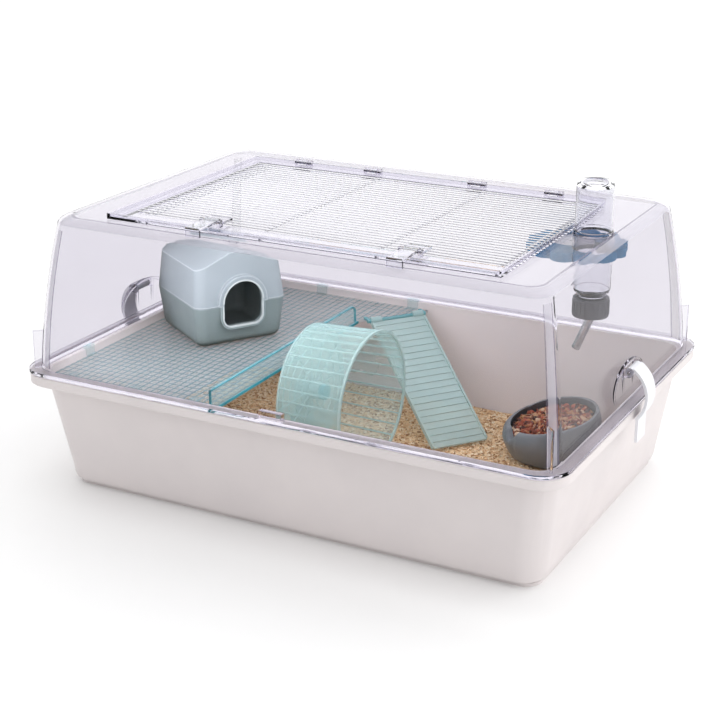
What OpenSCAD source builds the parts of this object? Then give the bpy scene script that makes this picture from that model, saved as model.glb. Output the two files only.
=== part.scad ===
// Two-storey hamster cage: tray, clear cover with a wire roof door, raised
// floor with a ramp, running wheel, house, bowl and drinking bottle.
// +X is the cage's right-hand end, -Y its front, +Z up.
// The origin is the middle of the cage on the surface that it stands on.

/* [Cage] */
// Length over the tray's rim
cage_l = 550; // [520:1:600]
// Width over the tray's rim
cage_w = 390; // [370:1:430]
// Height of the cover's flat top
cage_h = 270; // [262:1:300]
// Height of the tray's rim
rim_z = 119; // [112:1:126]
// Thickness of the tray's wall
tub_wall = 3; // [2:0.5:4]
// Thickness of the clear cover
lid_wall = 2.2; // [1.8:0.1:3]
// Depth of the bedding's surface above the floor
bedding_z = 20; // [14:1:24]

/* [Roof door] */
// Left edge of the door
door_x0 = -193; // [-200:1:-185]
// Right edge of the door
door_x1 = 200; // [195:1:200]
// Front edge of the door
door_y0 = -150; // [-154:1:-140]
// Rear edge of the door
door_y1 = 113.5; // [100:0.5:116]
// Number of long wires
wire_count = 30; // [20:1:36]
// Diameter of a long wire
wire_d = 1.3; // [1.2:0.1:2.2]
// Diameter of a cross wire
cross_d = 2.2; // [1.8:0.1:2.6]

/* [Raised floor] */
// Top of the deck
deck_z = 112; // [106:1:114]
// Free edge of the deck
deck_x = -70; // [-90:1:-66]
// Height of the guard above the deck
guard_h = 19; // [12:1:24]
// Width of the ramp
ramp_w = 62; // [50:1:66]
// Length of the ramp along its slope
ramp_l = 172; // [160:1:175]

/* [Wheel] */
// Largest outer radius of the drum
wheel_r = 69; // [60:1:70]
// Width of the drum
wheel_w = 70; // [60:1:72]
// Height of the axle
wheel_z = 91; // [90:0.5:95]

/* [House] */
// Length of the wall with the doorway, at the seam
house_l = 100; // [90:1:102]
// Depth of the house, at the seam
house_d = 107; // [94:1:110]
// Height of the seam between the two halves
house_seam_z = 155; // [150:1:160]
// Height of the eaves
house_eave_z = 191; // [184:1:196]
// Height of the ridge
house_ridge_z = 211; // [204:1:214]

/* [Bowl and bottle] */
// Largest outer radius of the bowl
bowl_r = 49; // [48.5:0.5:50]
// Outer radius of the bottle
bottle_r = 17; // [15:0.5:17]
// Top of the bottle
bottle_top_z = 317; // [300:1:330]

/* [Hidden] */
$fn = 64;

clear_tint = [0.86, 0.88, 0.94, 0.35];
teal_tint = [0.45, 0.72, 0.72, 0.6];
sage = [0.62, 0.70, 0.70];

hx = cage_l / 2;
hy = cage_w / 2;

// Tray: the wall leans in towards the floor
rim_inset = 0.8;        // tray rim inside the cover's flange
wall_top_inset = 13.2;  // outside of the wall just under the rim
wall_foot_inset = 25.6; // the same just above the floor's edge
foot_y_extra = 1.8;     // the long walls lean a little more
plinth_h = 3.2;
floor_z = 5.2;
channel_depth = 7.5;    // hollow under the rolled rim
channel_wall = 2.6;

// Cover: wall profile as an inset from the rim, leaning in faster near the top
flange_t = 3.7;
flange_z = rim_z + 0.3;
lid_foot_z = flange_z + flange_t;
lid_shoulder_z = cage_h - 10;
lid_foot_inset = 10;
lid_lean = 8.5;
lid_curve = 9;
fillet_run = 10.5;
fillet_rise = 10;

// Roof opening under the door
open_x0 = door_x0 + 10;
open_x1 = door_x1 - 8.5;
open_y0 = door_y0 + 10;
open_y1 = door_y1 - 8.5;

// Door frame
frame_z = cage_h + 0.4;
frame_t = 2;
border_w = 2.4;
border_h = 3.2;
bar_left = 19;
bar_right = 7;
bar_front = 24;
bar_back = 17.5;
grid_x0 = door_x0 + bar_left;
grid_x1 = door_x1 - bar_right;
grid_y0 = door_y0 + bar_front;
grid_y1 = door_y1 - bar_back;
wire_rest = 4;          // length of wire that lies on each end bar
long_z = frame_z + frame_t + wire_d / 2 + 0.02;
cross_z = long_z - wire_d / 2 - cross_d / 2 - 0.02;
cross_x = [grid_x0 + 5, grid_x0 + 13, -40, 76, grid_x1 - 5];

// Rear hinge of the door
hinge_y = door_y1 + 4;
hinge_z = cage_h + 3.5;
hinge_r = 3;
hinge_pin_r = 1.4;
hinge_x = [-137, -56, 60, 141];
knuckle_w = 10;
ear_w = 4;
ear_gap = 0.3;

// Catches on the front bar
catch_x = [-91, 109];
catch_y = door_y0 + 18;
catch_z = frame_z + frame_t + 4;
catch_w = 15;
catch_pin_r = 1.2;

// Side clips
clip_pin_x = 268.5;
clip_pin_z = 154;
clip_pin_r = 1.5;
clip_w = 22;
boss_half_w = 40;
boss_half_h = 21;
boss_z = 140;

// Raised floor
deck_t = 2.6;
deck_gap = 1.2;         // to the tray's wall
deck_hx = hx - 16.4 - deck_gap;
deck_hy = hy - 16.6 - deck_gap;
deck_corner_y = 112;    // where the sloping corner that carries the ramp starts
deck_back_x = -20;      // where it meets the back wall
guard_t = 2;
hook_w = 12;
hook_t = 1.8;

// Ramp: the bar lies along the deck's sloping corner
ramp_dir = atan2(deck_hy - deck_corner_y, deck_back_x - deck_x);
bar_off = 7;
bar_r = 2;
bar_mid = [(deck_x + deck_back_x) / 2 + bar_off * sin(ramp_dir),
           (deck_corner_y + deck_hy) / 2 - bar_off * cos(ramp_dir)];
ramp_t = 2.4;
ramp_rib_h = 1.2;
ramp_ribs = 20;
ramp_drop = deck_z - bedding_z - 2.6;
ramp_slope = asin(ramp_drop / ramp_l);

// Wheel: closed at its left end, slightly wider at the open right end
wheel_y = -38;
wheel_x1 = 26;
wheel_x0 = wheel_x1 - wheel_w;
wheel_taper = 3.4;
wheel_wall = 2;
axle_r = 4;
axle_spigot_r = 2.4;    // thinner end, pressed into the stand
stand_x = wheel_x0 - 8;

// House
house_at = [-183.5, 22.5];
house_turn = 57;
house_wall = 2.2;
house_floor_z = deck_z + 0.3;
door_half_w = 21.5;
door_sill_z = 133;
door_mid_z = 158;

// Bowl
bowl_at = [165, 76];
bowl_z = bedding_z + 0.3;
bowl_tilt = 13;
bowl_rim_h = 41;

// Bottle
bottle_at = [218, 17];
socket_r = bottle_r + 0.35;
socket_wall = 1.5;
cap_z0 = 192;
cap_z1 = 209;
spout_lean = 22;
spout_r = 3.9;
holder_at = [197, 32];
holder_z = cage_h - 23.5;
holder_t = 8;
disc_at = [191.5, 35];

// One ring of a rounded rectangle, counter-clockwise from above
ring_steps = 6;
function ring(z, x, y, r) = [
    for (q = [0 : 3]) for (i = [0 : ring_steps])
        let (a = 90 * q + 90 * i / ring_steps,
             sx = (q == 0 || q == 3) ? 1 : -1,
             sy = q < 2 ? 1 : -1)
        [sx * (x - r) + r * cos(a), sy * (y - r) + r * sin(a), z]
];

// A solid through rings given as [height, half length, half width, corner radius]
module loft(rings) {
    m = 4 * (ring_steps + 1);
    n = len(rings);
    points = [for (s = rings) each ring(s[0], s[1], s[2], s[3])];
    sides = [
        for (k = [0 : n - 2]) for (i = [0 : m - 1])
            let (j = (i + 1) % m)
            [k * m + i, (k + 1) * m + i, (k + 1) * m + j, k * m + j]
    ];
    bottom = [for (i = [0 : m - 1]) i];
    top = [for (i = [0 : m - 1]) n * m - 1 - i];
    polyhedron(points, concat([bottom], sides, [top]));
}

// A ring of the tray at a height, inset from the rim's outline
function tub_ring(z, dx, dy, r) = [z, hx - dx, hy - dy, r];

module tub_outside() {
    lean = wall_foot_inset - wall_top_inset;
    loft([
        tub_ring(plinth_h - 0.6, wall_foot_inset + 10, wall_foot_inset + 14, 14),
        tub_ring(plinth_h + 0.4, wall_foot_inset + 6, wall_foot_inset + 9.5, 18),
        tub_ring(6.2, wall_foot_inset + 2.8, wall_foot_inset + 5, 21),
        tub_ring(11, wall_foot_inset + 0.9, wall_foot_inset + 2.8, 24),
        tub_ring(18, wall_foot_inset, wall_foot_inset + foot_y_extra, 25),
        tub_ring(rim_z - 10, wall_foot_inset - lean, wall_foot_inset - lean + 0.4, 25),
        tub_ring(rim_z - 1, wall_top_inset - 0.4, wall_top_inset - 0.2, 25)
    ]);
}

module tub_inside() {
    foot = wall_foot_inset + tub_wall;
    head = wall_top_inset + tub_wall;
    loft([
        tub_ring(floor_z, foot + 6.5, foot + 9.5, 16),
        tub_ring(7.5, foot + 3, foot + 5.6, 20),
        tub_ring(12, foot + 1, foot + 3, 22),
        tub_ring(20, foot, foot + foot_y_extra, 22.5),
        tub_ring(rim_z - 10, head + 0.2, head + 0.4, 22.5),
        tub_ring(rim_z + 1, head, head + 0.2, 22.5)
    ]);
}

module rim_band(inset, z0, z1, r, edge) {
    loft([
        tub_ring(z0, inset + edge, inset + edge, r - edge),
        tub_ring(z0 + edge, inset, inset, r),
        tub_ring(z1 - edge, inset, inset, r),
        tub_ring(z1, inset + edge, inset + edge, r - edge)
    ]);
}

// Places its children at each corner, turned so that +X points out of the corner
module at_corners(x, y) {
    for (sx = [-1, 1]) for (sy = [-1, 1])
        translate([sx * x, sy * y, 0])
            rotate([0, 0, atan2(sy, sx)])
                children();
}

module tub() {
    slit_x = hx - wall_top_inset - 25 + 17.5;
    color([0.86, 0.84, 0.81]) difference() {
        union() {
            rim_band(rim_inset, rim_z - 10, rim_z, 27, 1);
            tub_outside();
            loft([tub_ring(0, 31, 37, 16), tub_ring(plinth_h, 31, 37, 16)]);
        }
        difference() {
            rim_band(rim_inset + channel_wall, rim_z - 11, rim_z - channel_wall, 25, 0.5);
            tub_outside();
        }
        tub_inside();
        at_corners(slit_x, hy - wall_top_inset - 25 + 17.5)
            translate([-2, -0.9, rim_z - 31]) cube([6, 1.8, 16]);
    }
}

module bedding() {
    foot = wall_foot_inset + tub_wall + 1;
    color([0.76, 0.62, 0.43])
        loft([
            tub_ring(floor_z + 0.2, foot + 7, foot + 10, 14),
            tub_ring(8, foot + 3, foot + 5.6, 18),
            tub_ring(13, foot + 0.8, foot + 2.8, 20),
            tub_ring(bedding_z, foot, foot + foot_y_extra, 21)
        ]);
}

// Inset of the cover's wall at a height
function lid_inset(z) =
    let (u = (z - lid_foot_z) / (lid_shoulder_z - lid_foot_z))
    lid_foot_inset + lid_lean * u + lid_curve * u * u;

// Rings of the cover, t inside its outer surface
function lid_rings(t) = concat(
    [for (i = [0 : 6])
        let (z = lid_foot_z + (lid_shoulder_z - lid_foot_z) * i / 6)
        tub_ring(z, lid_inset(z) + t, lid_inset(z) + t + 0.8 * i / 6, 23 - i - t)],
    [for (a = [22.5 : 22.5 : 90])
        let (d = lid_inset(lid_shoulder_z) + fillet_run * (1 - cos(a)) + t)
        tub_ring(lid_shoulder_z + (fillet_rise - t) * sin(a), d, d + 0.8, 17 - t)]
);

module lid_outside() {
    loft(lid_rings(0));
}

module lid_inside() {
    loft(concat([tub_ring(flange_z - 1, lid_foot_inset + lid_wall, lid_foot_inset + lid_wall,
                          23 - lid_wall)],
                lid_rings(lid_wall)));
}

// Outline of the pad that carries a side clip, standing on the flange
module boss_outline() {
    intersection() {
        scale([boss_half_w / 10, boss_half_h / 10]) circle(r = 10);
        translate([-boss_half_w, lid_foot_z - boss_z - 1])
            square([2 * boss_half_w, 2 * boss_half_h]);
    }
}

// Thin pad against the end wall, two ears for the clip's pin and two ribs
module clip_boss() {
    pad_x = hx - lid_foot_inset;
    difference() {
        union() {
            difference() {
                translate([pad_x - 8, 0, boss_z])
                    rotate([90, 0, 90]) linear_extrude(7.6) boss_outline();
                translate([pad_x - 2, 0, boss_z])
                    rotate([90, 0, 90]) linear_extrude(3) scale(0.9) boss_outline();
            }
            for (s = [-1, 1]) translate([0, s * (clip_w / 2 + 2.2), 0]) {
                translate([pad_x - 8, -1.7, lid_foot_z]) cube([7.2, 3.4, 36]);
                translate([pad_x - 8, -1.7, clip_pin_z - 4])
                    cube([clip_pin_x - pad_x + 8, 3.4, 8]);
                translate([clip_pin_x, 1.7, clip_pin_z])
                    rotate([90, 0, 0]) cylinder(r = 4, h = 3.4);
            }
        }
        translate([clip_pin_x, clip_w, clip_pin_z])
            rotate([90, 0, 0]) cylinder(r = clip_pin_r + 0.02, h = 2 * clip_w);
    }
}

// Ears on the roof for one hinge of the door
module roof_ears() {
    for (s = [-1, 1])
        translate([s * (knuckle_w / 2 + ear_gap + ear_w / 2) - ear_w / 2, 0, 0]) {
            translate([0, hinge_y - hinge_r, cage_h - 1])
                cube([ear_w, 2 * hinge_r, hinge_z - cage_h + 1]);
            translate([0, hinge_y, hinge_z])
                rotate([0, 90, 0]) cylinder(r = hinge_r, h = ear_w);
        }
}

module hinge_bores(r, half) {
    for (x = hinge_x)
        translate([x - half, hinge_y, hinge_z])
            rotate([0, 90, 0]) cylinder(r = r, h = 2 * half);
}

module lid_shell() {
    fin_r = hx - lid_foot_inset - 23;
    color(clear_tint) difference() {
        union() {
            difference() {
                union() {
                    rim_band(0, flange_z, lid_foot_z, 28, 0.6);
                    lid_outside();
                    at_corners(fin_r, hy - lid_foot_inset - 23)
                        translate([15, -1.1, lid_foot_z - 1]) cube([14.5, 2.2, 38]);
                    clip_boss();
                    mirror([1, 0, 0]) clip_boss();
                }
                lid_inside();
            }
            translate([bottle_at[0], bottle_at[1], holder_z + 2.5])
                cylinder(r = socket_r + socket_wall, h = cage_h - 5 - holder_z);
            translate([-7, -hy, lid_foot_z - 1]) cube([23, 6, 9]);
            for (x = hinge_x) translate([x, 0, 0]) roof_ears();
        }
        translate([bottle_at[0], bottle_at[1], holder_z]) cylinder(r = socket_r, h = 40);
        translate([open_x0, open_y0, cage_h - 12])
            cube([open_x1 - open_x0, open_y1 - open_y0, 20]);
        hinge_bores(hinge_pin_r + 0.02, knuckle_w / 2 + ear_gap + ear_w + 1);
    }
}

module door_hinge_pins() {
    color("white") hinge_bores(hinge_pin_r, knuckle_w / 2 + ear_gap + ear_w);
}

module frame_plate(inset, z, t) {
    translate([door_x0 + inset, door_y0 + inset, z])
        cube([door_x1 - door_x0 - 2 * inset, door_y1 - door_y0 - 2 * inset, t]);
}

// Ears on the front bar for one catch
module catch_ears() {
    for (s = [-1, 1])
        translate([s * (catch_w / 2 + 0.3 + 1.5) - 1.5, catch_y, 0]) {
            translate([0, -2.6, frame_z + 1]) cube([3, 5.2, catch_z - frame_z - 1]);
            translate([0, 0, catch_z]) rotate([0, 90, 0]) cylinder(r = 2.6, h = 3);
            translate([0, 0, catch_z - 2]) cube([3, 19, 2]);
        }
    translate([-catch_w / 2 - 1, catch_y + 7, catch_z - 2]) cube([catch_w + 2, 12, 2]);
}

module door_frame() {
    color(clear_tint) difference() {
        union() {
            difference() {
                union() {
                    frame_plate(0, frame_z, frame_t);
                    frame_plate(0, frame_z, frame_t + border_h);
                }
                frame_plate(border_w, frame_z + frame_t, border_h + 1);
                translate([grid_x0, grid_y0, frame_z - 1])
                    cube([grid_x1 - grid_x0, grid_y1 - grid_y0, 10]);
            }
            for (x = hinge_x) translate([x - knuckle_w / 2, 0, 0]) {
                translate([0, hinge_y, hinge_z])
                    rotate([0, 90, 0]) cylinder(r = hinge_r, h = knuckle_w);
                translate([0, door_y1 - 1, frame_z]) cube([knuckle_w, 5, frame_t + 1]);
            }
            for (x = catch_x) translate([x, 0, 0]) catch_ears();
        }
        hinge_bores(hinge_pin_r + 0.05, knuckle_w);
        for (x = catch_x)
            translate([x - catch_w, catch_y, catch_z])
                rotate([0, 90, 0]) cylinder(r = catch_pin_r + 0.02, h = 2 * catch_w);
        for (x = catch_x)
            translate([x - catch_w / 2 - 0.6, door_y0 - 1, frame_z + frame_t])
                cube([catch_w + 1.2, border_w + 2, border_h + 1]);
    }
}

module long_wires() {
    pitch = (grid_y1 - grid_y0) / wire_count;
    color("white")
        for (i = [0 : wire_count - 1])
            translate([grid_x0 - wire_rest, grid_y0 + (i + 0.5) * pitch, long_z])
                rotate([0, 90, 0])
                    cylinder(d = wire_d, h = grid_x1 - grid_x0 + 2 * wire_rest, $fn = 24);
}

module cross_wires() {
    gap = 0.1;
    color("white")
        for (x = cross_x)
            translate([x, grid_y1 - gap, cross_z])
                rotate([90, 0, 0])
                    cylinder(d = cross_d, h = grid_y1 - grid_y0 - 2 * gap, $fn = 24);
}

// Lever on the front bar, with a nose that hangs over the roof's front edge
module catch_lever(x) {
    reach = catch_y - door_y0 + 13;
    color(clear_tint) translate([x, 0, 0]) difference() {
        union() {
            translate([-catch_w / 2, catch_y, catch_z])
                rotate([0, 90, 0]) cylinder(r = 2.6, h = catch_w);
            translate([-catch_w / 2, catch_y - reach, catch_z - 0.6])
                cube([catch_w, reach, 2.2]);
            translate([-catch_w / 2, catch_y - reach, cage_h - 0.6])
                cube([catch_w, 1.8, catch_z - cage_h + 1.2]);
            translate([-catch_w / 2, catch_y, catch_z + 0.6])
                cube([catch_w, 4, 2]);
        }
        translate([-catch_w, catch_y, catch_z])
            rotate([0, 90, 0]) cylinder(r = catch_pin_r + 0.05, h = 2 * catch_w);
    }
}

module left_catch() { catch_lever(catch_x[0]); }
module right_catch() { catch_lever(catch_x[1]); }

module catch_pins() {
    half = catch_w / 2 + 3.3;
    color("white")
        for (x = catch_x)
            translate([x - half, catch_y, catch_z])
                rotate([0, 90, 0]) cylinder(r = catch_pin_r, h = 2 * half);
}

// Outline of a side clip in the X-Z plane: a bow outside the rim with a straight tail
module clip_outline() {
    bow_r = 32;
    bow_t = 2.6;
    bow_x = clip_pin_x - 14;
    bow_z = clip_pin_z - 23;
    tail_x = hx + 1.4;
    difference() {
        translate([bow_x, bow_z]) circle(r = bow_r);
        translate([bow_x, bow_z]) circle(r = bow_r - bow_t);
        translate([bow_x - 50, bow_z - 50]) square([50 + 17.5, 100]);
        translate([bow_x, bow_z - 50]) square([60, 50 - 21]);
    }
    translate([clip_pin_x, clip_pin_z]) circle(r = 4);
    translate([tail_x, rim_z - 31]) square([bow_t, 24]);
}

module side_clip() {
    color([0.93, 0.94, 0.95]) difference() {
        translate([0, clip_w / 2, 0])
            rotate([90, 0, 0]) linear_extrude(clip_w) clip_outline();
        translate([clip_pin_x, clip_w, clip_pin_z])
            rotate([90, 0, 0]) cylinder(r = clip_pin_r + 0.05, h = 2 * clip_w);
    }
}

module left_clip() { mirror([1, 0, 0]) side_clip(); }
module right_clip() { side_clip(); }

module clip_pins() {
    half = clip_w / 2 + 3.9;
    color("white")
        for (s = [-1, 1])
            translate([s * clip_pin_x, half, clip_pin_z])
                rotate([90, 0, 0]) cylinder(r = clip_pin_r, h = 2 * half);
}

module deck_outline() {
    r = 22;
    translate([-deck_hx + r, -deck_hy]) square([deck_hx - r + deck_x, 2 * deck_hy]);
    translate([-deck_hx, -deck_hy + r]) square([deck_hx + deck_x, 2 * (deck_hy - r)]);
    for (s = [-1, 1]) translate([-deck_hx + r, s * (deck_hy - r)]) circle(r = r);
    polygon([[deck_x - 1, deck_corner_y], [deck_x, deck_corner_y],
             [deck_back_x, deck_hy], [deck_x - 1, deck_hy]]);
}

module platform_deck() {
    color(teal_tint)
        translate([0, 0, deck_z - deck_t]) linear_extrude(deck_t) deck_outline();
}

// Upright wall on the deck's free edge, rounded at its rear top corner
module platform_guard() {
    y0 = -deck_hy + 4;
    y1 = deck_corner_y - 5;
    r = 9;
    color(teal_tint)
        translate([deck_x - guard_t - 0.4, 0, deck_z])
            rotate([90, 0, 90]) linear_extrude(guard_t) {
                translate([y0, 0]) square([y1 - y0 - r, guard_h]);
                translate([y0, 0]) square([y1 - y0, guard_h - r]);
                translate([y1 - r, guard_h - r]) circle(r = r);
            }
}

// One tab: up the tray's wall from the deck and out over its rim
module hook(at, turn) {
    translate([at[0], at[1], 0]) rotate([0, 0, turn]) translate([0, -hook_w / 2, 0]) {
        translate([-4, 0, deck_z]) cube([4, hook_w, hook_t]);
        translate([-hook_t, 0, deck_z]) cube([hook_t, hook_w, rim_z - deck_z + 3.2]);
        translate([-hook_t, 0, rim_z + 0.4]) cube([hook_t + 3.6, hook_w, 2.8]);
    }
}

module platform_hooks() {
    x_in = deck_hx;
    y_in = deck_hy;
    color(teal_tint) {
        for (x = [-222, -150, -38]) hook([x, y_in], 90);
        for (x = [-222, -150, -84]) hook([x, -y_in], -90);
        for (y = [-105, 105]) hook([-x_in, y], 180);
    }
}

// Puts its children at the ramp's bar: X runs down-slope, Y along the bar
module at_bar() {
    translate([bar_mid[0], bar_mid[1], deck_z]) rotate([0, 0, ramp_dir - 90]) children();
}

module ramp_bar() {
    half = ramp_w / 2 + 3;
    color(teal_tint) at_bar() {
        translate([0, half, 0]) rotate([90, 0, 0]) cylinder(r = bar_r, h = 2 * half);
        for (s = [-1, 1])
            translate([-bar_off - 3, s * (half - 1.7) - 1.7, 0.05])
                cube([bar_off + 3, 3.4, bar_r]);
    }
}

module ramp_board() {
    ring_r = 4;
    ring_len = 12;
    color(teal_tint) at_bar() difference() {
        union() {
            rotate([0, ramp_slope, 0]) {
                translate([3, -ramp_w / 2, -ramp_t / 2]) cube([ramp_l - 3, ramp_w, ramp_t]);
                for (i = [1 : ramp_ribs])
                    translate([i * ramp_l / (ramp_ribs + 1), -ramp_w / 2 + 1, 0.4])
                        cube([1.6, ramp_w - 2, ramp_t / 2 + ramp_rib_h - 0.4]);
                for (s = [-1, 1])
                    translate([5, s * (ramp_w / 2 - 0.8) - 1, -ramp_t / 2 - 0.3])
                        cube([ramp_l - 5.4, 2, ramp_t + 2.6]);
            }
            for (s = [-1, 1])
                translate([0, s * (ramp_w / 2 - 0.6 - ring_len / 2) + ring_len / 2, 0])
                    rotate([90, 0, 0]) cylinder(r = ring_r, h = ring_len);
        }
        translate([0, ramp_w, 0]) rotate([90, 0, 0]) cylinder(r = bar_r + 0.06, h = 2 * ramp_w);
    }
}

module at_axle(x) {
    translate([x, wheel_y, wheel_z]) rotate([0, 90, 0]) children();
}

module wheel_drum() {
    r0 = wheel_r - wheel_taper;
    color(teal_tint) at_axle(wheel_x0) rotate_extrude($fn = 96) {
        polygon([[axle_r + 0.06, 0], [r0, 0], [wheel_r, wheel_w], [wheel_r - wheel_wall, wheel_w],
                 [r0 - wheel_wall, wheel_wall], [9, wheel_wall], [9, 13], [axle_r + 0.06, 13]]);
    }
}

module wheel_axle() {
    color([0.35, 0.6, 0.6]) at_axle(stand_x) {
        cylinder(r = axle_r, h = wheel_x0 - stand_x + 17);
        cylinder(r = 7, h = wheel_x0 - stand_x - 0.4);
        translate([0, 0, -4]) cylinder(r = axle_spigot_r - 0.02, h = 5);
    }
}

module wheel_cap() {
    color([0.35, 0.6, 0.6]) at_axle(wheel_x0 + 13.4) difference() {
        cylinder(r = 8, h = 5);
        translate([0, 0, -1]) cylinder(r = axle_r + 0.02, h = 4.7);
    }
}

// Foot on the bedding and a tapered upright that holds the axle
module wheel_stand() {
    foot_z = bedding_z + 0.3;
    color(teal_tint) difference() {
        union() {
            translate([stand_x - 14, wheel_y - 42, foot_z]) cube([18, 84, 4]);
            translate([stand_x - 4, wheel_y, foot_z]) rotate([90, 0, 90])
                linear_extrude(4)
                    polygon([[-30, 0], [30, 0], [11, wheel_z - foot_z], [-11, wheel_z - foot_z]]);
            at_axle(stand_x - 4) cylinder(r = 11, h = 4);
        }
        at_axle(stand_x - 9) cylinder(r = axle_spigot_r, h = 12);
    }
}

module at_house() {
    translate([house_at[0], house_at[1], 0]) rotate([0, 0, house_turn]) children();
}

// Lower half: a tray that widens to the seam
module house_tray(t) {
    a = house_l / 2 - t;
    b = house_d / 2 - t;
    z = house_floor_z + t;
    loft([
        [z, a - 9.5, b - 11.5, 5],
        [z + 1.5, a - 6.4, b - 8.4, 7],
        [z + 4, a - 4.4, b - 6.4, 8.5],
        [z + 8, a - 3.2, b - 5, 9.5 - t / 2],
        [house_seam_z + (t > 0 ? 1 : 0), a, b, 11 - t]
    ]);
}

// Upper half: walls that lean in, under a gable whose ridge runs front to back
module house_top(t) {
    a = house_l / 2 - t;
    b = house_d / 2 - t;
    z0 = house_seam_z + 0.3 - (t > 0 ? 1 : 0);
    rise = house_ridge_z - house_eave_z;
    intersection() {
        loft([
            [z0, a, b, 11 - t],
            [house_ridge_z + 4, a - 5.5, b - 6.5, 11 - t]
        ]);
        translate([0, b + 1, 0]) rotate([90, 0, 0]) linear_extrude(2 * b + 2)
            polygon([[-a - 1, z0 - 1], [a + 1, z0 - 1], [a + 1, house_eave_z - t],
                     [2, house_eave_z + rise - t], [-2, house_eave_z + rise - t],
                     [-a - 1, house_eave_z - t]]);
    }
}

module doorway_outline(grow) {
    w = door_half_w + grow;
    r = 9 + grow;
    translate([0, door_mid_z]) circle(r = w);
    translate([-w, door_sill_z - grow + r]) square([2 * w, door_mid_z - door_sill_z + grow - r]);
    for (s = [-1, 1]) translate([s * (w - r), door_sill_z - grow + r]) circle(r = r);
    translate([-(w - r), door_sill_z - grow]) square([2 * (w - r), r]);
}

// Prism through the front wall, from its face inwards
module doorway(grow, out, depth) {
    translate([0, -house_d / 2 - out + depth, 0])
        rotate([90, 0, 0]) linear_extrude(depth) doorway_outline(grow);
}

module house_base() {
    color(sage * 0.88) at_house() difference() {
        union() {
            house_tray(0);
            intersection() {
                doorway(3, 1.2, 6);
                translate([-60, -80, house_floor_z]) cube([120, 80, house_seam_z - house_floor_z]);
            }
        }
        house_tray(house_wall);
        doorway(0, 8, 24);
    }
}

module house_roof() {
    color(sage) at_house() difference() {
        union() {
            house_top(0);
            intersection() {
                doorway(5, 2.4, 8);
                translate([-60, -80, house_seam_z + 0.3]) cube([120, 80, 60]);
            }
        }
        house_top(house_wall);
        doorway(0, 8, 24);
    }
}

module at_bowl() {
    translate([bowl_at[0], bowl_at[1], bowl_z]) children();
}

// Round bowl whose rim is lower towards the front left
module food_bowl() {
    color([0.35, 0.40, 0.44]) at_bowl() difference() {
        rotate_extrude($fn = 96)
            polygon([[0, 0], [37, 0], [42, 4], [46.5, 12], [bowl_r, 22], [48.5, 32], [46.5, 42],
                     [43.5, 54], [40, 54], [43, 42], [45, 32], [45.4, 22], [43, 13], [37, 8], [0, 8]]);
        above_rim(0);
    }
}

// Everything above the leaning rim, or a depth below it
module above_rim(depth) {
    rotate([0, 0, -150]) rotate([0, bowl_tilt, 0])
        translate([-80, -80, bowl_rim_h - depth]) cube([160, 160, 60]);
}

module food_mix() {
    color([0.45, 0.22, 0.12]) at_bowl() difference() {
        rotate_extrude()
            polygon([[0, 8.3], [36.6, 8.3], [42.5, 13.6], [44.8, 22], [44.4, 32], [42, 43], [0, 50]]);
        above_rim(4.5);
    }
}

module at_bottle(z) {
    translate([bottle_at[0], bottle_at[1], z]) children();
}

// Upturned bottle: flat end up, neck down, with a bead that rests on the roof
module bottle_body() {
    wall = 1.2;
    r = bottle_r;
    neck_r = 13;
    h = bottle_top_z - cap_z0;
    color([0.9, 0.92, 0.97, 0.3]) at_bottle(cap_z0) rotate_extrude()
        polygon([[neck_r - wall, 5], [neck_r, 5], [neck_r, 19.2], [r - 1, 23], [r, 26],
                 [r, cage_h - cap_z0 + 0.4], [r + 0.8, cage_h - cap_z0 + 0.6],
                 [r + 0.8, cage_h - cap_z0 + 2], [r, cage_h - cap_z0 + 2.6],
                 [r, h - 4], [r - 1, h - 1.4], [r - 3, h], [r - 6, h], [r - 7, h - 1.6], [0, h - 1.6],
                 [0, h - 1.6 - wall], [r - 7.5, h - 1.6 - wall], [r - wall, h - 5],
                 [r - wall, 26.4], [neck_r - wall, 20.2]]);
}

module bottle_water() {
    r = bottle_r - 1.2 - 0.15;
    fill = 58;
    color([0.8, 0.88, 0.95, 0.3]) at_bottle(cap_z0) rotate_extrude()
        polygon([[0, 6], [11.5, 6], [11.5, 20.6], [r, 27], [r, fill], [0, fill]]);
}

module bottle_cap() {
    h = cap_z1 - cap_z0;
    color([0.42, 0.44, 0.47]) at_bottle(cap_z0) difference() {
        union() {
            cylinder(r = bottle_r - 0.6, h = h);
            for (a = [0 : 15 : 345]) rotate([0, 0, a])
                translate([bottle_r - 1, -0.6, 2]) cube([0.9, 1.2, h - 4]);
        }
        translate([0, 0, 2.6]) cylinder(r = 13.1, h = h);
        translate([0, 0, -1]) cylinder(r = spout_r + 0.05, h = 6);
    }
}

module bottle_seal() {
    color([0.2, 0.2, 0.2]) at_bottle(cap_z0 + 2.7) difference() {
        cylinder(r = 12.8, h = 2.2);
        translate([0, 0, -1]) cylinder(r = spout_r + 0.1, h = 5);
    }
}

// Puts its children at the bend of the spout, with -Z running down the spout
module at_bend() {
    at_bottle(cap_z0 - 3) rotate([0, spout_lean, 0]) children();
}

module spout_tube() {
    len_low = 33;
    wall = 0.5;
    color([0.8, 0.8, 0.82]) difference() {
        union() {
            at_bottle(cap_z0 - 3) cylinder(r = spout_r, h = 8);
            at_bottle(cap_z0 - 3) sphere(r = spout_r + 0.3);
            at_bend() translate([0, 0, -len_low]) cylinder(r = spout_r, h = len_low);
            at_bend() translate([0, 0, -len_low]) rotate_extrude()
                translate([spout_r - 0.3, 0]) circle(r = 0.5, $fn = 24);
        }
        at_bottle(cap_z0 - 4.2) cylinder(r = spout_r - wall, h = 12);
        at_bend() translate([0, 0, -len_low + 3]) cylinder(r = spout_r - wall, h = len_low - 2);
        at_bend() translate([0, 0, -len_low - 2]) cylinder(r = 2.6, h = 6);
    }
}

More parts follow.
